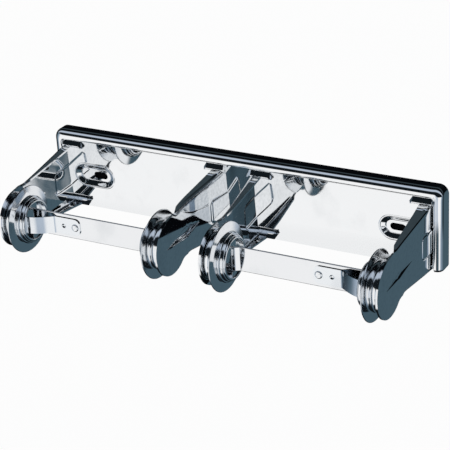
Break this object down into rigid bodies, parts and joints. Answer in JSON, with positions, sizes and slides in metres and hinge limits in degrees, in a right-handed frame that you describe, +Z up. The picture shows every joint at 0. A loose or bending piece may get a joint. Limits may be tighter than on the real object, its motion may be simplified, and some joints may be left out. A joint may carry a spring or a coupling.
{
  "type": "toilet roll dispenser",
  "caption": "Chrome wall dispenser for toilet rolls set side by side: a bordered back plate, pressed arms, turning spools and flat roll bars with spring latches.",
  "frame": {"origin": "centre of the back plate's outline in the plane of the wall", "axes": "+X to the right along the plate as seen by a person facing it, +Y into the wall, +Z up"},
  "size_m": [0.332, 0.1099, 0.071],
  "materials": {
    "chrome": "bright chrome plate, mirror smooth",
    "spring_steel": "plated spring steel, slightly softer shine",
    "plain_steel": "bright plain steel fasteners"
  },
  "bodies": {
    "wall_frame": {"back_plate": "chrome", "left_outer_arm": "chrome", "left_outer_hub_stud": "plain_steel", "left_outer_hub_washer": "plain_steel", "left_outer_top_foot_rivet": "plain_steel", "left_outer_bottom_foot_rivet": "plain_steel", "left_inner_arm": "chrome", "left_inner_hub_stud": "plain_steel", "left_inner_hub_washer": "plain_steel", "left_inner_top_foot_rivet": "plain_steel", "left_inner_bottom_foot_rivet": "plain_steel", "right_outer_arm": "chrome", "right_outer_hub_stud": "plain_steel", "right_outer_hub_washer": "plain_steel", "right_outer_top_foot_rivet": "plain_steel", "right_outer_bottom_foot_rivet": "plain_steel", "right_inner_arm": "chrome", "right_inner_hub_stud": "plain_steel", "right_inner_hub_washer": "plain_steel", "right_inner_top_foot_rivet": "plain_steel", "right_inner_bottom_foot_rivet": "plain_steel"},
    "left_spindle": {"left_outer_spacer_cup": "chrome", "left_outer_hub_cup": "chrome", "left_inner_spacer_cup": "chrome", "left_inner_hub_cup": "chrome", "left_roll_bar": "chrome", "left_leaf_foot": "spring_steel", "left_leaf_rivet": "plain_steel"},
    "left_latch": {"left_latch_leaf": "spring_steel"},
    "right_spindle": {"right_outer_spacer_cup": "chrome", "right_outer_hub_cup": "chrome", "right_inner_spacer_cup": "chrome", "right_inner_hub_cup": "chrome", "right_roll_bar": "chrome", "right_leaf_foot": "spring_steel", "right_leaf_rivet": "plain_steel"},
    "right_latch": {"right_latch_leaf": "spring_steel"}
  },
  "joints": [
    {"name": "left_spindle_turn", "type": "hinge", "parent": "wall_frame", "child": "left_spindle", "pos_m": [-0.08685, -0.0837, -0.0117], "axis": [1, 0, 0], "continuous": true},
    {"name": "left_latch_press", "type": "hinge", "parent": "left_spindle", "child": "left_latch", "pos_m": [-0.11955, -0.0839, -0.0117], "axis": [0, 0, -1], "range_deg": [0, 9], "stiffness_Nm_per_rad": 0.5, "springref_deg": -2.86},
    {"name": "right_spindle_turn", "type": "hinge", "parent": "wall_frame", "child": "right_spindle", "pos_m": [0.08685, -0.0837, -0.0117], "axis": [1, 0, 0], "continuous": true},
    {"name": "right_latch_press", "type": "hinge", "parent": "right_spindle", "child": "right_latch", "pos_m": [0.11955, -0.0839, -0.0117], "axis": [0, 0, 1], "range_deg": [0, 9], "stiffness_Nm_per_rad": 0.5, "springref_deg": -2.86}
  ]
}
